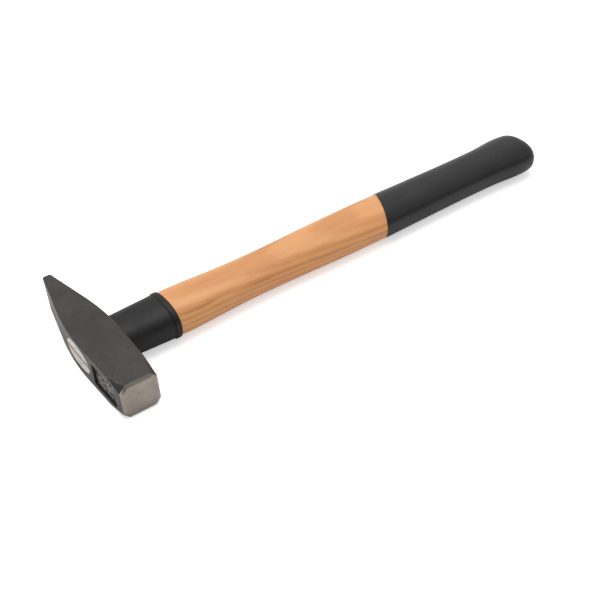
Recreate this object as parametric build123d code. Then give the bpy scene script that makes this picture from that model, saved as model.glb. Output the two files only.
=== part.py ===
from build123d import *
import math
import os

# Cross-peen engineer's hammer of the 200 g size, lying on one cheek. Millimetres.
# X runs along the handle to its butt, Y along the head to its peen, and Z is up.
# The origin is on the lower cheek, below the crossing of the handle's and the head's axes.

# Head
head_length = 96.0
poll_length = 42.3  # from the handle's axis to the striking face
face_width = 19.0
head_thickness = 19.0  # cheek to cheek
shoulder_y = 9.3  # where the straight sides of poll and peen would meet
shoulder_half = 11.1
shoulder_radius = 150.0
peen_edge = 4.2  # thickness of the blunt peen edge
peen_rounding = 0.9
edge_rounding = 0.4
corner_cut = 3.2  # what each poll corner loses at the striking face
corner_run = 14.0  # how far back along the poll the corner cuts run out
bevel_width = 1.4  # ground bevel round the striking face
bevel_depth = 1.2

# Marking recess in the side of the poll that faces away from the handle
recess_length = 20.6
recess_width = 12.8
recess_depth = 1.2
recess_corner = 1.8
recess_y = -25.7

# Eye: half sizes along Y and Z, at its flared mouth and at its handle side
eye_mouth = (12.2, 7.5)
eye_waist = (10.5, 6.6)
eye_reach = 12.0  # the eye's form is drawn this far to each side of the head's axis

# Handle: (X, half size along Y, half size along Z) of its oval section
handle_end = -10.1  # just inside the eye's mouth
neck_stations = ((11.2, 10.8, 7.0), (37.6, 11.4, 7.8))
body_stations = (
    (37.6, 13.25, 9.1),
    (56.0, 13.0, 8.95),
    (78.0, 12.1, 8.45),
    (106.0, 12.35, 8.6),
    (139.0, 13.3, 9.05),
    (176.0, 13.2, 8.85),
    (205.0, 12.6, 8.6),
    (225.0, 12.45, 8.55),
    (245.0, 13.05, 8.65),
    (263.4, 13.7, 8.7),
)
oval_power = 2.35
oval_points = 24
butt_length = 7.3  # length of the rounded butt past the last station
butt_flat = 0.4  # share of the section that is left at the very end
butt_steps = 4

# Overstrike sleeve: half sizes along Y and Z
sleeve_at_head = (11.8, 8.3)
sleeve_at_bead = (13.1, 9.15)
sleeve_bead = (13.7, 9.45)
bead_length = 3.4
bead_rounding = 0.8
sleeve_power = 2.6

# Dipped grip
coat_thickness = 0.3
dip_line = 166.9
dip_slant = 0.4  # how far the line moves along X for each step along Y

# Wooden wedge, and steel ring wedge driven in across it
wedge_depth = 15.0
wedge_thick_end = 2.6
wedge_thin_end = 0.9
ring_depth = 9.0
ring_radius = 4.6
ring_wall = 1.1
ring_taper = 0.3

# Worked out from the above
mid_z = head_thickness / 2
face_y = -poll_length
peen_y = head_length - poll_length
sleeve_end = neck_stations[-1][0]
poll_slope = (shoulder_half - face_width / 2) / (shoulder_y - face_y)
past_head = 4 * face_width  # longer than any section is wide


def oval(x, half_y, half_z, power=oval_power):
    """Superelliptic section across the handle's axis; a power of 2 makes a plain ellipse."""
    points = []
    for i in range(oval_points):
        angle = 2 * math.pi * i / oval_points
        along_y = math.cos(angle)
        along_z = math.sin(angle)
        y = math.copysign(half_y * abs(along_y) ** (2 / power), along_y)
        z = math.copysign(half_z * abs(along_z) ** (2 / power), along_z)
        points.append((x, y, mid_z + z))
    return make_face(Wire(Spline(*points, periodic=True)))


def eye_form():
    """The space inside the eye, which flares where the handle is wedged."""
    mouth = oval(-eye_reach, *eye_mouth, 2)
    waist = oval(0, *eye_waist, 2)
    handle_side = oval(eye_reach, *eye_waist, 2)
    return loft([mouth, waist, handle_side])


def beyond(x, side):
    """Half space on one side of a plane across the handle, as a large box."""
    return Pos(x + side * past_head, 0, mid_z) * Box(2 * past_head, 2 * past_head, 2 * past_head)


def corner_plane(across, up):
    """Plane that cuts one corner of the poll: corner_cut at the face, nothing at corner_run."""
    corner = Vector(across * face_width / 2, face_y, mid_z + up * mid_z)
    on_cheek = corner - Vector(across * corner_cut, 0, 0)
    on_side = corner - Vector(0, 0, up * corner_cut)
    run_out = corner + Vector(across * poll_slope * corner_run, corner_run, 0)
    normal = (on_side - on_cheek).cross(run_out - on_cheek)
    if normal.X * across < 0:
        normal = normal * -1
    return Plane(origin=on_cheek, z_dir=normal)


def bevel_form():
    """Octagonal flare that leaves the striking face's outline as a ground bevel."""
    outlines = []
    for back in (0, head_length):
        grow = back * bevel_width / bevel_depth - bevel_width
        across = face_width / 2 + grow
        up = mid_z + grow
        cut = corner_cut + grow * (2 - math.sqrt(2))
        plane = Plane(origin=(0, face_y + back, mid_z), x_dir=(1, 0, 0), z_dir=(0, -1, 0))
        corner = [(across, up - cut), (across - cut, up)]
        upper = corner + [(-x, y) for x, y in reversed(corner)]
        lower = [(-x, -y) for x, y in upper]
        outlines.append(plane * make_face(Polyline(*upper, *lower, close=True)))
    return loft(outlines, ruled=True)


def marking_recess():
    """Shallow pocket, square to the slightly sloping side of the poll."""
    surface_x = -face_width / 2 - poll_slope * (recess_y - face_y)
    plane = Plane(origin=(surface_x, recess_y, mid_z), x_dir=(-poll_slope, 1, 0), z_dir=(-1, -poll_slope, 0))
    outline = RectangleRounded(recess_length, recess_width, recess_corner)
    return extrude(plane * outline, recess_depth, both=True)


def side_outline():
    """The head seen from above: straight poll and peen sides, blended over the eye."""
    half_face = face_width / 2
    half_edge = peen_edge / 2
    right = [(half_face, face_y), (shoulder_half, shoulder_y), (half_edge, peen_y)]
    left = [(-x, y) for x, y in reversed(right)]
    outline = make_face(Polyline(*right, *left, close=True))
    corners = outline.vertices().sort_by(Axis.Y)
    outline = fillet(corners[2:4], shoulder_radius)
    return fillet(outline.vertices().sort_by(Axis.Y)[-2:], peen_rounding)


def steel_head():
    body = extrude(side_outline(), head_thickness)
    rims = body.faces().sort_by(Axis.Z)
    body = fillet(rims[0].edges() + rims[-1].edges(), edge_rounding)
    for across in (1, -1):
        for up in (1, -1):
            body = split(body, bisect_by=corner_plane(across, up), keep=Keep.BOTTOM)
    return (body & bevel_form()) - eye_form() - marking_recess()


def handle_form(extra):
    """The visible handle, from the sleeve to its rounded butt, grown by extra all round."""
    sections = [oval(x, y + extra, z + extra) for x, y, z in body_stations]
    last_x, last_y, last_z = body_stations[-1]
    for step in range(1, butt_steps + 1):
        angle = math.pi / 2 * step / butt_steps
        share = butt_flat + (1 - butt_flat) * math.cos(angle)
        x = last_x + (butt_length + extra) * math.sin(angle)
        sections.append(oval(x, last_y * share + extra, last_z * share + extra))
    return loft(sections)


def kerf():
    """Tapered slab across the handle's end, as wide as the handle."""
    plane = Plane(origin=(handle_end, 0, mid_z), x_dir=(0, 1, 0), z_dir=(1, 0, 0))
    thick = plane * Rectangle(past_head, wedge_thick_end)
    thin = plane.offset(wedge_depth) * Rectangle(past_head, wedge_thin_end)
    return loft([thick, thin])


def ring_wedge():
    """Slightly tapered steel ring, driven in level with the handle's end."""
    plane = Plane(origin=(handle_end, 0, mid_z), z_dir=(1, 0, 0))
    outside = Cone(ring_radius, ring_radius - ring_taper, ring_depth)
    inner_radius = ring_radius - ring_wall
    inside = Cone(inner_radius, inner_radius + ring_taper, ring_depth)
    return plane * Pos(0, 0, ring_depth / 2) * (outside - inside)


def wooden_handle():
    tang = eye_form() & beyond(handle_end, 1)
    neck = loft([oval(*station) for station in neck_stations])
    return tang + neck + handle_form(0) - kerf() - ring_wedge()


def wooden_wedge():
    return (eye_form() & kerf()) - ring_wedge()


def overstrike_sleeve(head, handle):
    """Plastic sleeve on the handle's neck, moulded to the head and beaded at its open end."""
    bead_start = sleeve_end - bead_length
    tube = loft([oval(0, *sleeve_at_head, sleeve_power), oval(bead_start, *sleeve_at_bead, sleeve_power)])
    bead = extrude(oval(bead_start, *sleeve_bead, sleeve_power), bead_length, dir=(1, 0, 0))
    bead = fillet(bead.edges(), bead_rounding)
    solids = (tube + bead - head - handle).solids()
    return solids.sort_by(Axis.X)[-1]


def grip_coat():
    """Thin black coat over the butt half of the handle, ending on a slanted line."""
    start = Plane(origin=(dip_line, 0, 0), z_dir=(1, -dip_slant, 0))
    coated = split(handle_form(coat_thickness), bisect_by=start, keep=Keep.TOP)
    return coated - handle_form(0)


def main():
    head = steel_head()
    handle = wooden_handle()
    nodes = {
        "steel_head": head,
        "wooden_handle": handle,
        "wooden_wedge": wooden_wedge(),
        "ring_wedge": ring_wedge(),
        "overstrike_sleeve": overstrike_sleeve(head, handle),
        "grip_coat": grip_coat(),
    }
    os.makedirs("parts", exist_ok=True)
    for name, shape in nodes.items():
        export_step(shape, f"parts/{name}.step")


main()
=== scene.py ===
import math

import bmesh
import bpy
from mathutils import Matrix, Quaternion, Vector


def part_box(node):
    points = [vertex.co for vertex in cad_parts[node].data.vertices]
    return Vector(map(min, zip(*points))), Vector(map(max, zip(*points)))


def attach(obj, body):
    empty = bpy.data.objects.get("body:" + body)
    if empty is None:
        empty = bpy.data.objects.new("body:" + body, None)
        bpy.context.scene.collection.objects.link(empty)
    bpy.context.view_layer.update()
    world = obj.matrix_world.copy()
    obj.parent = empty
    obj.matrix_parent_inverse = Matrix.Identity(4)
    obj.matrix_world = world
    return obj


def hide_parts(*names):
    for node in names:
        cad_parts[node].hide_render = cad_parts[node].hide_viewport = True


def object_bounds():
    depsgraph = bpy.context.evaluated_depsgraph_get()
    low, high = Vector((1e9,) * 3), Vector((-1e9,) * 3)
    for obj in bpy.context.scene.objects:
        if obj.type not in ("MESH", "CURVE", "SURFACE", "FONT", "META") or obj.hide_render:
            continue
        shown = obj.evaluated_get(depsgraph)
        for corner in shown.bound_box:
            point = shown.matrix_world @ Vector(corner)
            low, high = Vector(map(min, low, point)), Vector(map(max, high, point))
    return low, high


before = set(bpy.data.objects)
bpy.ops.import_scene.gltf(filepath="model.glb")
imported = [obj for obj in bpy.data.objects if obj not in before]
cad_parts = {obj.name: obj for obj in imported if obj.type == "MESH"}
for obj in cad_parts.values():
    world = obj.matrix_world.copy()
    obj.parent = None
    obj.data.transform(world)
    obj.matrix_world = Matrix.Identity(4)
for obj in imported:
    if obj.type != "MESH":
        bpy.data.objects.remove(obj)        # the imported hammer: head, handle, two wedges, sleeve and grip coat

bpy.context.view_layer.update()
cadLow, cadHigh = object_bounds()
mm = 0.001
headLow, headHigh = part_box("steel_head")
midZ = (headLow.z + headHigh.z) / 2        # mid plane of head and handle
print("frame loaded:", sorted(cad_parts))


# working by hand in edit mode

def deselectAll():
    bpy.ops.object.select_all(action="DESELECT")


def makeActive(piece):
    deselectAll()
    piece.select_set(True)
    bpy.context.view_layer.objects.active = piece


def startPiece(name):
    # the primitive just added becomes the piece, with its place in its mesh
    piece = bpy.context.object
    piece.name = name
    piece.data.name = name
    bpy.ops.object.transform_apply(location=True, rotation=True, scale=True)
    return piece


def editMode():
    bpy.ops.object.mode_set(mode="EDIT")


def objectMode():
    bpy.ops.object.mode_set(mode="OBJECT")


def pickFaces(piece, test):
    # in edit mode: selects the faces whose centre and normal pass the test
    bpy.ops.mesh.select_mode(type="FACE")
    bpy.ops.mesh.select_all(action="DESELECT")
    mesh = bmesh.from_edit_mesh(piece.data)
    for face in mesh.faces:
        if test(face.calc_center_median(), face.normal):
            face.select_set(True)
    bmesh.update_edit_mesh(piece.data)


def pickEdges(piece, test):
    # in edit mode: selects the edges whose two ends both pass the test
    bpy.ops.mesh.select_mode(type="EDGE")
    bpy.ops.mesh.select_all(action="DESELECT")
    mesh = bmesh.from_edit_mesh(piece.data)
    for edge in mesh.edges:
        if test(edge.verts[0].co) and test(edge.verts[1].co):
            edge.select_set(True)
    bmesh.update_edit_mesh(piece.data)


def paintPicked(piece, slot):
    piece.active_material_index = slot
    bpy.ops.object.material_slot_assign()


def applyModifier(piece, kind, **settings):
    makeActive(piece)
    modifier = piece.modifiers.new(kind.title(), kind)
    for key, value in settings.items():
        setattr(modifier, key, value)
    bpy.ops.object.modifier_apply(modifier=modifier.name)


def combine(piece, other, operation):
    applyModifier(piece, "BOOLEAN", operation=operation, object=other, solver="EXACT")
    bpy.data.objects.remove(other)


def smoothFaces(piece, degrees):
    makeActive(piece)
    bpy.ops.object.shade_smooth_by_angle(angle=math.radians(degrees))
    applyModifier(piece, "WEIGHTED_NORMAL", keep_sharp=True)


def finishPiece(piece, node):
    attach(piece, "root")
    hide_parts(node)
    print("made", piece.name, "with", len(piece.data.polygons), "faces")


def rounder(value, half, power):
    # one coordinate of an ellipse, moved out to the fuller oval of that power
    return math.copysign(half * abs(value / half) ** (2 / power), value)


def ovalLoft(name, stations, power, capped=True, sides=96):
    # an oval ring extruded along the handle, through stations of (x, half size Y, half size Z)
    deselectAll()
    firstX, firstY, firstZ = stations[0]
    bpy.ops.mesh.primitive_circle_add(
        vertices=sides, radius=1, fill_type="NGON" if capped else "NOTHING",
        location=(firstX, 0, midZ), rotation=(0, math.pi / 2, 0))
    piece = startPiece(name)
    editMode()
    bpy.ops.mesh.select_all(action="SELECT")
    bpy.ops.transform.resize(value=(1, firstY, firstZ), center_override=(firstX, 0, midZ))
    ring = bmesh.from_edit_mesh(piece.data)
    for vertex in ring.verts:
        vertex.co.y = rounder(vertex.co.y, firstY, power)
        vertex.co.z = midZ + rounder(vertex.co.z - midZ, firstZ, power)
    bmesh.update_edit_mesh(piece.data)
    for (x0, y0, z0), (x1, y1, z1) in zip(stations, stations[1:]):
        if capped:
            bpy.ops.mesh.extrude_region()
        else:
            bpy.ops.mesh.extrude_edges_indiv()
        bpy.ops.transform.translate(value=(x1 - x0, 0, 0))
        bpy.ops.transform.resize(value=(1, y1 / y0, z1 / z0), center_override=(x1, 0, midZ))
    return piece        # still in edit mode, with its last ring selected


def turnOutward():
    bpy.ops.mesh.select_all(action="SELECT")
    bpy.ops.mesh.normals_make_consistent(inside=False)


# shader nodes

def link(tree, given, socket):
    if isinstance(given, bpy.types.NodeSocket):
        tree.links.new(given, socket)
    else:
        socket.default_value = given


def addNode(tree, kind, inputs, **settings):
    node = tree.nodes.new(kind)
    for key, value in settings.items():
        setattr(node, key, value)
    for key, value in inputs.items():
        link(tree, value, node.inputs[key])
    return node


def mathNode(tree, operation, a, b=0.0):
    return addNode(tree, "ShaderNodeMath", {0: a, 1: b}, operation=operation).outputs[0]


def mixColor(tree, share, a, b, blend="MIX"):
    inputs = {0: share, 6: a, 7: b}
    return addNode(tree, "ShaderNodeMix", inputs, data_type="RGBA", blend_type=blend).outputs[2]


def remap(tree, value, low, high, toLow=0.0, toHigh=1.0):
    inputs = {0: value, 1: low, 2: high, 3: toLow, 4: toHigh}
    return addNode(tree, "ShaderNodeMapRange", inputs, interpolation_type="SMOOTHSTEP").outputs[0]


def noise(tree, place, scale, detail=3.0, roughness=0.5, distortion=0.0):
    inputs = {"Vector": place, "Scale": scale, "Detail": detail, "Roughness": roughness,
              "Distortion": distortion}
    return addNode(tree, "ShaderNodeTexNoise", inputs).outputs[0]


def mapped(tree, place, scale=(1, 1, 1), location=(0, 0, 0), rotation=(0, 0, 0)):
    inputs = {"Vector": place, "Scale": scale, "Location": location, "Rotation": rotation}
    return addNode(tree, "ShaderNodeMapping", inputs).outputs[0]


def newGroup(name, inputs, outputs):
    group = bpy.data.node_groups.new(name, "ShaderNodeTree")
    for socketName, socketType, value in inputs:
        socket = group.interface.new_socket(
            socketName, in_out="INPUT", socket_type="NodeSocket" + socketType)
        if socketType != "Vector":
            socket.default_value = value
    for socketName, socketType in outputs:
        group.interface.new_socket(
            socketName, in_out="OUTPUT", socket_type="NodeSocket" + socketType)
    given = group.nodes.new("NodeGroupInput").outputs
    return group, given, group.nodes.new("NodeGroupOutput").inputs


def placeGroup(tree, group, **values):
    node = tree.nodes.new("ShaderNodeGroup")
    node.node_tree = group
    for key, value in values.items():
        link(tree, value, node.inputs[key])
    return node.outputs


def newMaterial(name, **constants):
    # constants are set on the shader's own sockets
    material = bpy.data.materials.new(name)
    material.use_nodes = True
    tree = material.node_tree
    shader = tree.nodes["Principled BSDF"].inputs
    for key, value in constants.items():
        shader[key.replace("_", " ")].default_value = value
    return material, tree, shader, tree.nodes.new("ShaderNodeTexCoord").outputs["Object"]


def bump(tree, shader, height, strength, distance):
    inputs = {"Strength": strength, "Distance": distance, "Height": height}
    link(tree, addNode(tree, "ShaderNodeBump", inputs).outputs[0], shader["Normal"])


def makeMottle():
    # a slow drift between two tones, with a finer cloud in it
    group, given, out = newGroup(
        "mottle",
        [("Place", "Vector", None), ("Size", "Float", 60.0), ("First", "Color", (0.1, 0.1, 0.1, 1)),
         ("Second", "Color", (0.2, 0.2, 0.2, 1))],
        [("Color", "Color"), ("Mask", "Float")])
    slow = noise(group, given["Place"], given["Size"], 2.0)
    fine = noise(group, given["Place"], mathNode(group, "MULTIPLY", given["Size"], 7.0), 4.0, 0.6)
    slowPart = mathNode(group, "MULTIPLY", slow, 0.65)
    both = mathNode(group, "ADD", slowPart, mathNode(group, "MULTIPLY", fine, 0.35))
    mask = remap(group, both, 0.36, 0.64)
    link(group, mixColor(group, mask, given["First"], given["Second"]), out["Color"])
    link(group, mask, out["Mask"])
    return group


def makeSkin():
    # the grain of lacquer, paint or moulded plastic: a height, and a roughness that drifts
    group, given, out = newGroup(
        "skin grain",
        [("Place", "Vector", None), ("Grain", "Float", 900.0), ("Smooth", "Float", 0.35),
         ("Dull", "Float", 0.5)],
        [("Height", "Float"), ("Roughness", "Float")])
    grain = noise(group, given["Place"], given["Grain"], 4.0, 0.6)
    slow = noise(group, given["Place"], mathNode(group, "DIVIDE", given["Grain"], 16.0), 3.0)
    inputs = {0: slow, 1: 0.3, 2: 0.7, 3: given["Smooth"], 4: given["Dull"]}
    rough = addNode(group, "ShaderNodeMapRange", inputs)
    link(group, grain, out["Height"])
    link(group, rough.outputs[0], out["Roughness"])
    return group


def makeFibres():
    # long fibres and short pores that run along X, as height and masks
    group, given, out = newGroup(
        "wood fibres",
        [("Place", "Vector", None), ("Along", "Float", 14.0), ("Across", "Float", 900.0)],
        [("Fibre", "Float"), ("Pore", "Float")])
    inputs = {0: given["Along"], 1: given["Across"], 2: given["Across"]}
    size = addNode(group, "ShaderNodeCombineXYZ", inputs)
    inputs = {0: given["Place"], 1: size.outputs[0]}
    stretched = addNode(group, "ShaderNodeVectorMath", inputs, operation="MULTIPLY").outputs[0]
    fibre = noise(group, stretched, 1.0, 4.0, 0.6)
    pores = noise(group, mapped(group, stretched, (4.0, 1.6, 1.6), (3.1, 1.7, 0.4)), 1.0, 2.0, 0.5)
    link(group, fibre, out["Fibre"])
    link(group, remap(group, pores, 0.62, 0.74), out["Pore"])
    return group


def makeGrinding():
    # scratches from a grinding belt, as a height, and the roughness they leave
    group, given, out = newGroup(
        "grinding lines",
        [("Place", "Vector", None), ("Turn", "Float", 0.0), ("Fine", "Float", 6000.0)],
        [("Height", "Float"), ("Roughness", "Float")])
    turn = addNode(group, "ShaderNodeCombineXYZ", {1: given["Turn"]})
    inputs = {"Vector": given["Place"], "Rotation": turn.outputs[0]}
    turned = addNode(group, "ShaderNodeMapping", inputs).outputs[0]
    size = addNode(group, "ShaderNodeCombineXYZ", {0: given["Fine"], 1: 60.0, 2: 60.0})
    inputs = {0: turned, 1: size.outputs[0]}
    stretched = addNode(group, "ShaderNodeVectorMath", inputs, operation="MULTIPLY").outputs[0]
    lines = noise(group, stretched, 1.0, 3.0, 0.6)
    cloud = noise(group, given["Place"], 260.0, 3.0)
    link(group, lines, out["Height"])
    fromLines = mathNode(group, "MULTIPLY", lines, 0.12)
    rough = mathNode(group, "ADD", fromLines, mathNode(group, "MULTIPLY", cloud, 0.16))
    link(group, mathNode(group, "ADD", rough, 0.2), out["Roughness"])
    return group


mottle = makeMottle()
skinGrain = makeSkin()
woodFibres = makeFibres()
grindingLines = makeGrinding()


# camera, floor and light

view = {
    "aim": (0.3665, 0.1124, 0.5105),        # share of the way through the hammer's box
    "azimuth": -32.58,
    "elevation": 39.05,
    "roll": -4.12,
    "distance": 0.5029,
    "lens": 62.63,
}


def makeCamera():
    camera = bpy.data.objects.new("camera", bpy.data.cameras.new("camera"))
    bpy.context.scene.collection.objects.link(camera)
    azimuth = math.radians(view["azimuth"])
    elevation = math.radians(view["elevation"])
    level = math.cos(elevation)
    back = Vector((math.sin(azimuth) * level, -math.cos(azimuth) * level, math.sin(elevation)))
    aim = cadLow + Vector(view["aim"]) * (cadHigh - cadLow)
    camera.location = aim + back * view["distance"]
    camera.rotation_mode = "QUATERNION"
    upright = (-back).to_track_quat("-Z", "Y")
    camera.rotation_quaternion = upright @ Quaternion((0, 0, 1), math.radians(view["roll"]))
    camera.data.lens = view["lens"]
    camera.data.clip_start = 0.01
    bpy.context.scene.camera = camera


studio = {
    "floorSize": 6.0,
    "floorColor": (0.93, 0.93, 0.93, 1),
    "floorSecond": (0.94, 0.94, 0.94, 1),
    "floorGlow": 0.5,        # keeps the paper white to the camera only, so its shadows stay faint
    "overhead": 0.76,        # brightness of the white tent above
    "front": 0.17,        # the tent's darker front, low down, where it is open
    "back": 0.7,
    "top": 7.2,        # watts of the softbox overhead
    "topPlace": (0.15, 0.25, 1.1),
    "topAim": (0.1, 0, 0),
    "topSize": 1.0,
}


def makeFloor():
    deselectAll()
    bpy.ops.mesh.primitive_plane_add(size=studio["floorSize"], location=(0, 0, cadLow.z))
    floor = startPiece("floor")
    material, tree, shader, place = newMaterial("floor paper", Roughness=0.9, Specular_IOR_Level=0.1)
    tone = placeGroup(tree, mottle, Place=place, Size=3.0, First=studio["floorColor"],
                      Second=studio["floorSecond"])
    link(tree, tone["Color"], shader["Base Color"])
    seenByCamera = tree.nodes.new("ShaderNodeLightPath").outputs["Is Camera Ray"]
    shader["Emission Color"].default_value = (1, 1, 1, 1)
    link(tree, mathNode(tree, "MULTIPLY", seenByCamera, studio["floorGlow"]), shader["Emission Strength"])
    floor.data.materials.append(material)


def makeTent():
    world = bpy.data.worlds.new("tent")
    bpy.context.scene.world = world
    world.use_nodes = True
    tree = world.node_tree
    background = tree.nodes["Background"]
    direction = tree.nodes.new("ShaderNodeTexCoord").outputs["Generated"]
    height = addNode(tree, "ShaderNodeSeparateXYZ", {0: direction}).outputs[2]
    azimuth = math.radians(view["azimuth"])
    toFront = (math.sin(azimuth), -math.cos(azimuth), 0)
    facing = addNode(tree, "ShaderNodeVectorMath", {0: direction, 1: toFront}, operation="DOT_PRODUCT")
    front = remap(tree, facing.outputs[1], -0.2, 0.7)
    low = addNode(tree, "ShaderNodeMix", {0: front, 2: studio["back"], 3: studio["front"]}).outputs[0]
    up = remap(tree, height, 0.15, 0.75)
    seen = addNode(tree, "ShaderNodeMix", {0: up, 2: low, 3: studio["overhead"]}).outputs[0]
    toCamera = tree.nodes.new("ShaderNodeLightPath").outputs["Is Camera Ray"]
    strength = addNode(tree, "ShaderNodeMix", {0: toCamera, 2: seen, 3: 1.0}).outputs[0]
    link(tree, strength, background.inputs["Strength"])
    background.inputs["Color"].default_value = (1, 1, 1, 1)


def makeSoftbox(name, location, size, power):
    light = bpy.data.lights.new(name, "AREA")
    light.shape = "SQUARE"
    light.size = size
    light.energy = power
    box = bpy.data.objects.new(name, light)
    bpy.context.scene.collection.objects.link(box)
    box.location = location
    toAim = Vector(studio["topAim"]) - Vector(location)
    box.rotation_euler = toAim.to_track_quat("-Z", "Y").to_euler()


makeCamera()
makeFloor()
makeTent()
makeSoftbox("top_softbox", studio["topPlace"], studio["topSize"], studio["top"])
bpy.context.scene.view_settings.view_transform = "Standard"
print("studio ready")


# head finishes

forgedCoat = {
    "dark": (0.017, 0.0145, 0.012, 1),
    "light": (0.033, 0.028, 0.023, 1),
    "patch": 70.0,        # size of the tone's drift
    "grain": 1700.0,
    "smooth": 0.34,
    "dull": 0.44,
    "bare": (0.30, 0.28, 0.26, 1),        # steel where the coat is gone
    "spots": 420.0,        # size of the worn spots
}


def makeForgedCoat(name, rubbed):
    # dark lacquer on forged steel; where it is rubbed the steel shows in spots
    material, tree, shader, place = newMaterial(name, IOR=1.46)
    tone = placeGroup(tree, mottle, Place=place, Size=forgedCoat["patch"], First=forgedCoat["dark"],
                      Second=forgedCoat["light"])
    skin = placeGroup(tree, skinGrain, Place=place, Grain=forgedCoat["grain"], Smooth=forgedCoat["smooth"],
                      Dull=forgedCoat["dull"])
    spots = noise(tree, place, forgedCoat["spots"], 4.0, 0.65)
    worn = remap(tree, spots, 0.72 - rubbed, 0.86 - rubbed)
    color = mixColor(tree, worn, tone["Color"], forgedCoat["bare"])
    link(tree, color, shader["Base Color"])
    link(tree, mathNode(tree, "MULTIPLY", worn, 0.9), shader["Metallic"])
    link(tree, skin["Roughness"], shader["Roughness"])
    bump(tree, shader, skin["Height"], 0.22, 0.00012)
    return material


groundSteel = {
    "tone": (0.335, 0.295, 0.26, 1),
    "deep": (0.275, 0.24, 0.21, 1),
    "turn": 0.9,        # direction of the belt, in radians about Y
    "fine": 5200.0,        # how close its lines are
    "patch": 110.0,
}


def makeGroundSteel():
    material, tree, shader, place = newMaterial("ground steel", Metallic=1.0)
    tone = placeGroup(tree, mottle, Place=place, Size=groundSteel["patch"], First=groundSteel["deep"],
                      Second=groundSteel["tone"])
    lines = placeGroup(tree, grindingLines, Place=place, Turn=groundSteel["turn"],
                       Fine=groundSteel["fine"])
    link(tree, tone["Color"], shader["Base Color"])
    link(tree, lines["Roughness"], shader["Roughness"])
    bump(tree, shader, lines["Height"], 0.35, 0.00006)
    return material


# head

head = {
    "faceHalf": 9.5 * mm,        # half width across the handle's direction at the striking face
    "shoulderHalf": 11.1 * mm,
    "shoulderY": 9.3 * mm,        # where the straight sides of poll and peen would meet
    "shoulderRadius": 150 * mm,
    "peenHalf": 2.1 * mm,
    "peenRounding": 0.9 * mm,
    "arcSteps": 12,
    "cornerCut": 3.2 * mm,
    "cornerRun": 14.0 * mm,
    "bevelWidth": 1.4 * mm,
    "bevelDepth": 1.2 * mm,
    "crown": 0.16 * mm,        # how far the ground face is domed
    "faceCorner": 1.1 * mm,
    "faceRings": ((0.86, 0.42), (0.78, 0.3), (0.66, 0.2), (0.4, 0.08)),        # (size, rise) of the dome
    "edgeRound": 0.38 * mm,
    "eyeMouth": (12.2 * mm, 7.5 * mm),
    "eyeWaist": (10.5 * mm, 6.6 * mm),
    "eyeReach": 12.0 * mm,
}
recess = {
    "length": 20.6 * mm,
    "width": 12.8 * mm,
    "depth": 1.2 * mm,
    "corner": 1.8 * mm,
    "middleY": -25.7 * mm,
    "margin": 1.1 * mm,        # flat border round the pebbled floor
    "pebble": 1.25 * mm,
    "relief": 0.85 * mm,
    "rubbed": 0.3,        # how much steel shows on the pebbles
    "paintFrom": 0.25 * mm,        # the rubbed finish starts this far below the poll's side
    "paintTo": 0.9 * mm,        # and ends this far below the recess's flat bottom
}
faceY = headLow.y
peenY = headHigh.y
pollSlope = (head["shoulderHalf"] - head["faceHalf"]) / (head["shoulderY"] - faceY)
peenSlope = (head["peenHalf"] - head["shoulderHalf"]) / (peenY - head["shoulderY"])


def shoulderArc():
    # (first y, last y, centre x, centre y) of the arc that blends poll and peen
    pollAngle = math.atan(pollSlope)
    peenAngle = math.atan(peenSlope)
    radius = head["shoulderRadius"]
    tangent = radius * math.tan((pollAngle - peenAngle) / 2)
    firstY = head["shoulderY"] - tangent * math.cos(pollAngle)
    firstX = head["shoulderHalf"] - tangent * math.sin(pollAngle)
    centreX = firstX - radius * math.cos(pollAngle)
    centreY = firstY + radius * math.sin(pollAngle)
    return firstY, head["shoulderY"] + tangent * math.cos(peenAngle), centreX, centreY


def sideHalf(y):
    # half width of the head, seen from above, at that y
    firstY, lastY, centreX, centreY = shoulderArc()
    if y <= firstY:
        return head["faceHalf"] + pollSlope * (y - faceY)
    if y >= lastY:
        return head["peenHalf"] + peenSlope * (y - peenY)
    return centreX + math.sqrt(head["shoulderRadius"] ** 2 - (y - centreY) ** 2)


def drawHeadBlank():
    # the face's section, extruded station by station to the peen
    firstY, lastY = shoulderArc()[:2]
    steps = head["arcSteps"]
    stations = [firstY + (lastY - firstY) * i / steps for i in range(steps + 1)] + [peenY]
    deselectAll()
    bpy.ops.mesh.primitive_plane_add(size=1, location=(0, faceY, midZ), rotation=(math.pi / 2, 0, 0))
    piece = startPiece("hammer_head")
    editMode()
    bpy.ops.mesh.select_all(action="SELECT")
    bpy.ops.transform.resize(
        value=(2 * head["faceHalf"], 1, 2 * (midZ - headLow.z)), center_override=(0, faceY, midZ))
    y, half = faceY, head["faceHalf"]
    for nextY in stations:
        bpy.ops.mesh.extrude_region()
        bpy.ops.transform.translate(value=(0, nextY - y, 0))
        bpy.ops.transform.resize(
            value=(sideHalf(nextY) / half, 1, 1), center_override=(0, nextY, midZ))
        y, half = nextY, sideHalf(nextY)
    turnOutward()
    return piece


def cutPollCorner(across, up):
    # planes off one corner of the poll, running out along its edge
    corner = Vector((across * head["faceHalf"], faceY, midZ + up * (headHigh.z - midZ)))
    onCheek = corner - Vector((across * head["cornerCut"], 0, 0))
    onSide = corner - Vector((0, 0, up * head["cornerCut"]))
    runOut = corner + Vector((across * pollSlope, 1, 0)) * head["cornerRun"]
    normal = (onSide - onCheek).cross(runOut - onCheek).normalized()
    if normal.x * across < 0:
        normal.negate()
    bpy.ops.mesh.select_all(action="SELECT")
    bpy.ops.mesh.bisect(plane_co=onCheek, plane_no=normal, use_fill=True, clear_outer=True)


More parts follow.
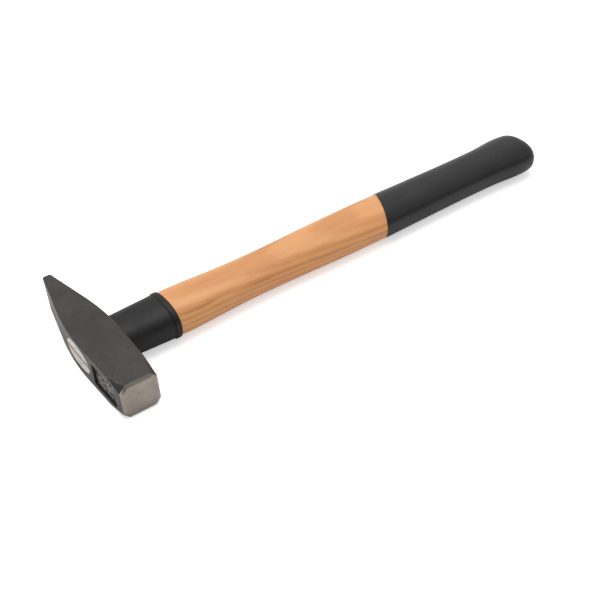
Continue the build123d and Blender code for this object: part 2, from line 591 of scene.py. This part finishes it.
def grindFace(piece):
    # sets the face back, then draws it out again smaller, which leaves the ground bevel
    depth = head["bevelDepth"]
    rimY = faceY + depth
    bpy.ops.mesh.select_all(action="SELECT")
    bpy.ops.mesh.bisect(plane_co=(0, rimY, midZ), plane_no=(0, -1, 0), use_fill=True, clear_outer=True)
    pickFaces(piece, lambda centre, normal: normal.y < -0.99)
    rimHalf = sideHalf(rimY)
    halfZ = headHigh.z - midZ
    width = head["bevelWidth"]
    bpy.ops.mesh.extrude_region()
    bpy.ops.transform.translate(value=(0, head["crown"] - depth, 0))
    shrink = ((head["faceHalf"] - width) / rimHalf, 1, (halfZ - width) / halfZ)
    bpy.ops.transform.resize(value=shrink, center_override=(0, rimY, midZ))
    bpy.ops.mesh.bevel(offset=head["faceCorner"], segments=4, affect="VERTICES")
    pickFaces(piece, lambda centre, normal: normal.y < -0.99 and centre.y < rimY - depth / 2)
    for size, rise in head["faceRings"]:
        bpy.ops.mesh.extrude_region()
        bpy.ops.transform.translate(value=(0, -rise * head["crown"], 0))
        bpy.ops.transform.resize(value=(size, 1, size), center_override=(0, faceY, midZ))


def roundPeen(piece):
    pickEdges(piece, lambda place: place.y > peenY - 0.01 * mm)
    mesh = bmesh.from_edit_mesh(piece.data)
    for edge in mesh.edges:
        upright = abs(edge.verts[0].co.z - edge.verts[1].co.z) > 1 * mm
        if edge.select and not upright:
            edge.select_set(False)
    bpy.ops.mesh.bevel(offset=head["peenRounding"], segments=5, affect="EDGES")


def cutEye(piece):
    # the eye's oval narrows from its mouth to its waist, then keeps its size to the handle side
    stations = []
    for step in range(9):
        along = step / 4 - 1
        flare = (along * along - along) / 2
        both = zip(head["eyeMouth"], head["eyeWaist"])
        halves = [waist + (mouth - waist) * flare for mouth, waist in both]
        stations.append((along * head["eyeReach"], *halves))
    cutter = ovalLoft("eye_cutter", stations, 2)
    turnOutward()
    objectMode()
    combine(piece, cutter, "DIFFERENCE")


def recessPlace(inward):
    # a point on the recess's middle, that far into the poll's side
    sideX = -sideHalf(recess["middleY"])
    return Vector((sideX + inward, recess["middleY"] + inward * pollSlope, midZ))


def cutRecess(piece):
    deselectAll()
    bpy.ops.mesh.primitive_cube_add(
        size=1, location=recessPlace(0), rotation=(0, 0, math.atan(pollSlope)),
        scale=(2 * recess["depth"], recess["length"], recess["width"]))
    cutter = startPiece("recess_cutter")
    editMode()
    pickEdges(cutter, lambda place: True)
    mesh = bmesh.from_edit_mesh(cutter.data)
    for edge in mesh.edges:
        run = edge.verts[0].co - edge.verts[1].co
        edge.select_set(abs(run.x) > 1.5 * recess["depth"])
    bpy.ops.mesh.bevel(offset=recess["corner"], segments=6, affect="EDGES")
    turnOutward()
    objectMode()
    combine(piece, cutter, "DIFFERENCE")


def pebbleRecess(piece):
    # a plain pebbled floor, raised out of the recess's flat bottom
    deselectAll()
    length = recess["length"] - 2 * recess["margin"]
    width = recess["width"] - 2 * recess["margin"]
    bpy.ops.mesh.primitive_grid_add(x_subdivisions=58, y_subdivisions=96, size=1)
    pad = bpy.context.object
    pad.scale = (width, length, 1)
    pad.rotation_euler = (0, -math.pi / 2, math.atan(pollSlope))
    pad.location = recessPlace(recess["depth"])
    pad = startPiece("pebble_pad")
    cells = bpy.data.textures.new("pebbles", "VORONOI")
    cells.noise_scale = recess["pebble"]
    cells.intensity = 1.0
    cells.contrast = 1.6
    applyModifier(pad, "DISPLACE", texture=cells, texture_coords="GLOBAL", direction="X",
                  strength=recess["relief"], mid_level=0.42)
    editMode()
    bpy.ops.mesh.select_all(action="SELECT")
    bpy.ops.mesh.extrude_region()
    bpy.ops.transform.translate(value=(1.5 * mm, 0, 0))
    turnOutward()
    objectMode()
    combine(piece, pad, "UNION")


def makeHead():
    piece = drawHeadBlank()
    for across in (1, -1):
        for up in (1, -1):
            cutPollCorner(across, up)
    grindFace(piece)
    roundPeen(piece)
    objectMode()
    applyModifier(piece, "BEVEL", width=head["edgeRound"], segments=3, limit_method="ANGLE",
                  angle_limit=math.radians(30), use_clamp_overlap=False)
    cutEye(piece)
    cutRecess(piece)
    pebbleRecess(piece)
    piece.data.materials.clear()
    piece.data.materials.append(makeForgedCoat("forged coat", 0.0))
    piece.data.materials.append(makeGroundSteel())
    piece.data.materials.append(makeForgedCoat("rubbed relief", recess["rubbed"]))
    makeActive(piece)
    editMode()
    deepest = recessPlace(recess["depth"]).x + recess["paintTo"]
    pickFaces(piece, lambda centre, normal: normal.x < -0.4
              and -sideHalf(centre.y) + recess["paintFrom"] < centre.x < deepest
              and abs(centre.y - recess["middleY"]) < recess["length"] / 2)
    paintPicked(piece, 2)
    rimY = faceY + head["bevelDepth"]
    pickFaces(piece, lambda centre, normal: centre.y < rimY + 0.05 * mm and normal.y < -0.25)
    paintPicked(piece, 1)
    objectMode()
    smoothFaces(piece, 32)
    finishPiece(piece, "steel_head")


makeHead()


# overstrike sleeve

sleevePlastic = {
    "dark": (0.005, 0.0047, 0.005, 1),
    "light": (0.0085, 0.008, 0.0085, 1),
    "grain": 1500.0,
    "smooth": 0.42,
    "dull": 0.52,
}
sleeve = {
    "atAxis": (11.8 * mm, 8.3 * mm),        # half sizes where the cone meets the head's axis
    "atBead": (13.1 * mm, 9.15 * mm),
    "bead": (13.7 * mm, 9.45 * mm),
    "beadLength": 3.4 * mm,
    "beadRound": 0.8 * mm,
    "boreWide": (11.4 * mm, 7.8 * mm),
    "boreNarrow": (10.75 * mm, 6.95 * mm),
    "fullness": 2.6,
}


def makeSleevePlastic():
    # moulded black plastic, finely pebbled by its mould
    material, tree, shader, place = newMaterial("sleeve plastic", IOR=1.36)
    tone = placeGroup(tree, mottle, Place=place, Size=120.0, First=sleevePlastic["dark"],
                      Second=sleevePlastic["light"])
    skin = placeGroup(tree, skinGrain, Place=place, Grain=sleevePlastic["grain"],
                      Smooth=sleevePlastic["smooth"], Dull=sleevePlastic["dull"])
    link(tree, tone["Color"], shader["Base Color"])
    link(tree, skin["Roughness"], shader["Roughness"])
    bump(tree, shader, skin["Height"], 0.3, 0.0001)
    return material


def beadRing(x, angle):
    # a ring on the bead's rounding: 0 at its end face, a right angle on its crest
    inner = sleeve["beadRound"] * (1 - math.sin(angle))
    return (x, sleeve["bead"][0] - inner, sleeve["bead"][1] - inner)


def makeSleeve():
    low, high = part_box("overstrike_sleeve")
    radius = sleeve["beadRound"]
    beadStart = high.x - sleeve["beadLength"]
    stations = []
    for x in (low.x, 16 * mm, 22 * mm, 28 * mm, beadStart - 0.5 * mm, beadStart):
        share = x / beadStart
        halves = [a + (b - a) * share for a, b in zip(sleeve["atAxis"], sleeve["atBead"])]
        stations.append((x, *halves))
    rise = math.asin(1 - (sleeve["bead"][0] - sleeve["atBead"][0]) / radius)
    for step in range(1, 7):
        angle = rise + (math.pi / 2 - rise) * step / 6
        stations.append(beadRing(beadStart + radius * (1 - math.cos(angle)), angle))
    for step in range(0, 7):
        angle = math.pi / 2 * (1 - step / 6)
        stations.append(beadRing(high.x - radius * (1 - math.cos(angle)), angle))
    stations.append((high.x, *sleeve["boreWide"]))
    stations.append((low.x, *sleeve["boreNarrow"]))
    piece = ovalLoft("neck_sleeve", stations, sleeve["fullness"], capped=False)
    pickEdges(piece, lambda place: place.x < low.x + 0.01 * mm)
    bpy.ops.mesh.bridge_edge_loops()
    turnOutward()
    objectMode()
    piece.data.materials.append(makeSleevePlastic())
    smoothFaces(piece, 40)
    finishPiece(piece, "overstrike_sleeve")


makeSleeve()


# dipped grip

dipCoat = {
    "dark": (0.0065, 0.0062, 0.0065, 1),
    "light": (0.011, 0.0105, 0.0105, 1),
    "patch": 55.0,
    "grain": 700.0,
    "smooth": 0.27,
    "dull": 0.37,
}
grip = {
    "line": 166.9 * mm,        # where the coat ends, on the handle's axis
    "slant": 0.4,        # how far that line moves along X for each step along Y
    "overhang": 8 * mm,        # the loft starts this far before the line
    "rings": 36,
    "buttStart": 263.4 * mm,
    "buttRings": 12,
    "wall": 0.36 * mm,
    "fullness": 2.35,
    "lipWave": 0.5 * mm,
    "flow": 0.10 * mm,        # waves left in the coat by the dip
    "lipWaveSize": 7 * mm,
    "flowSize": 16 * mm,
    "edgeRound": 0.12 * mm,
}


def makeDipCoat():
    # glossy black dip; the wood's fibres show through it faintly
    material, tree, shader, place = newMaterial("dip coat", IOR=1.43)
    tone = placeGroup(tree, mottle, Place=place, Size=dipCoat["patch"], First=dipCoat["dark"],
                      Second=dipCoat["light"])
    skin = placeGroup(tree, skinGrain, Place=place, Grain=dipCoat["grain"], Smooth=dipCoat["smooth"],
                      Dull=dipCoat["dull"])
    fibres = placeGroup(tree, woodFibres, Place=place, Along=12.0, Across=420.0)
    height = mathNode(tree, "ADD", mathNode(tree, "MULTIPLY", skin["Height"], 0.5), fibres["Fibre"])
    link(tree, tone["Color"], shader["Base Color"])
    link(tree, skin["Roughness"], shader["Roughness"])
    bump(tree, shader, height, 0.16, 0.00012)
    return material


def sizeAt(node, x, extra=0.0):
    # a station on a CAD node's surface, found by looking in from the side and from above
    far = 50 * mm
    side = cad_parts[node].ray_cast((x, -far, midZ), (0, 1, 0))[1]
    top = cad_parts[node].ray_cast((x, 0, far), (0, 0, -1))[1]
    return (x, extra - side.y, top.z - midZ + extra)


def makeGrip():
    low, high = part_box("grip_coat")
    thick = sizeAt("grip_coat", 0.2)[1] - sizeAt("wooden_handle", 0.2)[1]
    start = low.x - grip["overhang"]
    stations = []
    for step in range(grip["rings"]):
        x = start + (grip["buttStart"] - start) * step / grip["rings"]
        stations.append(sizeAt("wooden_handle", x, thick))
    for step in range(grip["buttRings"] + 1):
        turn = math.pi / 2 * step / grip["buttRings"]
        reach = high.x - grip["buttStart"] - 0.01 * mm
        stations.append(sizeAt("grip_coat", grip["buttStart"] + reach * math.sin(turn)))
    lastX, lastY, lastZ = stations[-1]
    for share in (0.7, 0.35):
        stations.append((lastX, lastY * share, lastZ * share))
    piece = ovalLoft("dipped_grip", stations, grip["fullness"])
    turnOutward()
    bpy.ops.mesh.bisect(plane_co=(grip["line"], 0, midZ), plane_no=(1, -grip["slant"], 0), clear_inner=True)
    # the lip's vertices become a group, so that the first ripple moves only the lip
    pickEdges(piece, lambda place: abs(place.x - grip["line"] - grip["slant"] * place.y) < 0.01 * mm)
    objectMode()
    editMode()
    bpy.ops.object.vertex_group_assign_new()
    objectMode()
    ripple = bpy.data.textures.new("ripple", "CLOUDS")
    ripple.noise_scale = grip["lipWaveSize"]
    applyModifier(piece, "DISPLACE", texture=ripple, texture_coords="GLOBAL", direction="X",
                  strength=grip["lipWave"], mid_level=0.5, vertex_group="Group")
    ripple.noise_scale = grip["flowSize"]
    applyModifier(piece, "DISPLACE", texture=ripple, texture_coords="GLOBAL", direction="NORMAL",
                  strength=grip["flow"], mid_level=0.95)
    piece.vertex_groups.clear()
    applyModifier(piece, "SOLIDIFY", thickness=grip["wall"], offset=-1)
    applyModifier(piece, "BEVEL", width=grip["edgeRound"], segments=2, limit_method="ANGLE",
                  angle_limit=math.radians(50))
    piece.data.materials.append(makeDipCoat())
    smoothFaces(piece, 50)
    finishPiece(piece, "grip_coat")


makeGrip()


# handle and wedges: the CAD nodes' own meshes, with better finishes

ash = {
    "pale": (0.73, 0.35, 0.135, 1),
    "warm": (0.60, 0.25, 0.083, 1),
    "darkWood": (0.34, 0.135, 0.042, 1),        # darker wood, for the pores and for the dark line along the handle's side
    "endPale": (0.88, 0.82, 0.77, 1),
    "endDark": (0.64, 0.58, 0.53, 1),
    "pith": -60 * mm,        # height of the tree's heart, far below the handle
    "wander": 4.5 * mm,        # how far the rings stray along the handle
    "lineWidth": 0.75 * mm,
    "runOff": 0.0426,        # radius at which a dark line is drawn along the handle's side, where its top turns into its side
    "line": 77.94 * mm,        # radius of the ring whose dark line shows on the side
    "ringGap": 12 * mm,
    "softGap": 2.6 * mm,
}


def makeAsh():
    material, tree, shader, place = newMaterial("lacquered ash", IOR=1.48)
    parts = addNode(tree, "ShaderNodeSeparateXYZ", {0: place}).outputs
    warp = noise(tree, mapped(tree, place, (9, 40, 40)), 1.0, 3.0, 0.55)
    wander = mathNode(tree, "MULTIPLY", mathNode(tree, "SUBTRACT", warp, 0.5), ash["wander"])
    drop = mathNode(tree, "MULTIPLY", parts[0], ash["runOff"])
    up = mathNode(tree, "ADD", mathNode(tree, "SUBTRACT", parts[2], ash["pith"]), drop)
    flat = addNode(tree, "ShaderNodeCombineXYZ", {0: up, 1: parts[1]}).outputs[0]
    radius = addNode(tree, "ShaderNodeVectorMath", {0: flat}, operation="LENGTH").outputs[1]
    ring = mathNode(tree, "ADD", radius, wander)
    # dark lines every ring gap; the one at the line radius runs along the handle's side, where its top turns
    # into its side; broken up along X
    offLine = mathNode(tree, "SUBTRACT", ring, ash["line"])
    fromLine = mathNode(tree, "PINGPONG", offLine, ash["ringGap"] / 2)
    broken = remap(tree, noise(tree, mapped(tree, place, (45, 260, 260)), 1.0, 3.0), 0.34, 0.6)
    line = mathNode(tree, "MULTIPLY", remap(tree, fromLine, 0.0, ash["lineWidth"], 1.0, 0.0), broken)
    # the soft figure between them
    soft = mathNode(tree, "SINE", mathNode(tree, "MULTIPLY", ring, 2 * math.pi / ash["softGap"]))
    figure = remap(tree, soft, -1.0, 1.0)
    clouds = noise(tree, mapped(tree, place, (16, 90, 90), (0.3, 0.1, 0.2)), 1.0, 4.0, 0.6)
    fibres = placeGroup(tree, woodFibres, Place=place, Along=16.0, Across=950.0)
    fromFigure = mathNode(tree, "MULTIPLY", figure, 0.3)
    share = mathNode(tree, "ADD", fromFigure, mathNode(tree, "MULTIPLY", clouds, 0.7))
    share = mathNode(tree, "ADD", share, mathNode(tree, "MULTIPLY", fibres["Fibre"], 0.35))
    body = mixColor(tree, remap(tree, share, 0.4, 0.95), ash["pale"], ash["warm"])
    body = mixColor(tree, mathNode(tree, "MULTIPLY", fibres["Pore"], 0.35), body, ash["darkWood"])
    body = mixColor(tree, mathNode(tree, "MULTIPLY", line, 0.6), body, ash["darkWood"])
    # pale end grain, only on the end that shows in the eye
    endGrain = remap(tree, noise(tree, mapped(tree, place, (40, 700, 700)), 1.0, 3.0, 0.6), 0.35, 0.7)
    endColor = mixColor(tree, endGrain, ash["endPale"], ash["endDark"])
    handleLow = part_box("wooden_handle")[0]
    isEnd = remap(tree, parts[0], handleLow.x + 0.2 * mm, handleLow.x + 0.4 * mm, 1.0, 0.0)
    link(tree, mixColor(tree, isEnd, body, endColor), shader["Base Color"])
    rough = mathNode(tree, "ADD", mathNode(tree, "MULTIPLY", fibres["Fibre"], 0.16), 0.34)
    link(tree, rough, shader["Roughness"])
    height = mathNode(tree, "SUBTRACT", fibres["Fibre"], mathNode(tree, "MULTIPLY", fibres["Pore"], 0.8))
    bump(tree, shader, height, 0.25, 0.00012)
    return material


wedges = {
    "woodPale": (0.42, 0.34, 0.26, 1),
    "woodDark": (0.26, 0.19, 0.13, 1),
    "woodPore": (0.12, 0.08, 0.05, 1),
    "steelPale": (0.62, 0.6, 0.56, 1),
    "steelDark": (0.45, 0.43, 0.40, 1),
}


def makeWedgeWood():
    material, tree, shader, place = newMaterial("wedge wood", Roughness=0.5)
    tone = placeGroup(tree, mottle, Place=mapped(tree, place, (0.4, 1, 3)), Size=260.0,
                      First=wedges["woodPale"], Second=wedges["woodDark"])
    fibres = placeGroup(tree, woodFibres, Place=place, Along=60.0, Across=1400.0)
    pores = mathNode(tree, "MULTIPLY", fibres["Pore"], 0.5)
    link(tree, mixColor(tree, pores, tone["Color"], wedges["woodPore"]), shader["Base Color"])
    bump(tree, shader, fibres["Fibre"], 0.4, 0.00015)
    return material


def makeWedgeSteel():
    material, tree, shader, place = newMaterial("wedge steel", Metallic=1.0)
    tone = placeGroup(tree, mottle, Place=place, Size=400.0, First=wedges["steelPale"],
                      Second=wedges["steelDark"])
    lines = placeGroup(tree, grindingLines, Place=place, Turn=0.4, Fine=2500.0)
    link(tree, tone["Color"], shader["Base Color"])
    link(tree, lines["Roughness"], shader["Roughness"])
    bump(tree, shader, lines["Height"], 0.3, 0.00006)
    return material


def finishNode(node, material):
    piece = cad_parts[node]
    piece.data.materials.clear()
    piece.data.materials.append(material)
    print("finished", node, "with", material.name)


finishNode("wooden_handle", makeAsh())
finishNode("wooden_wedge", makeWedgeWood())
finishNode("ring_wedge", makeWedgeSteel())
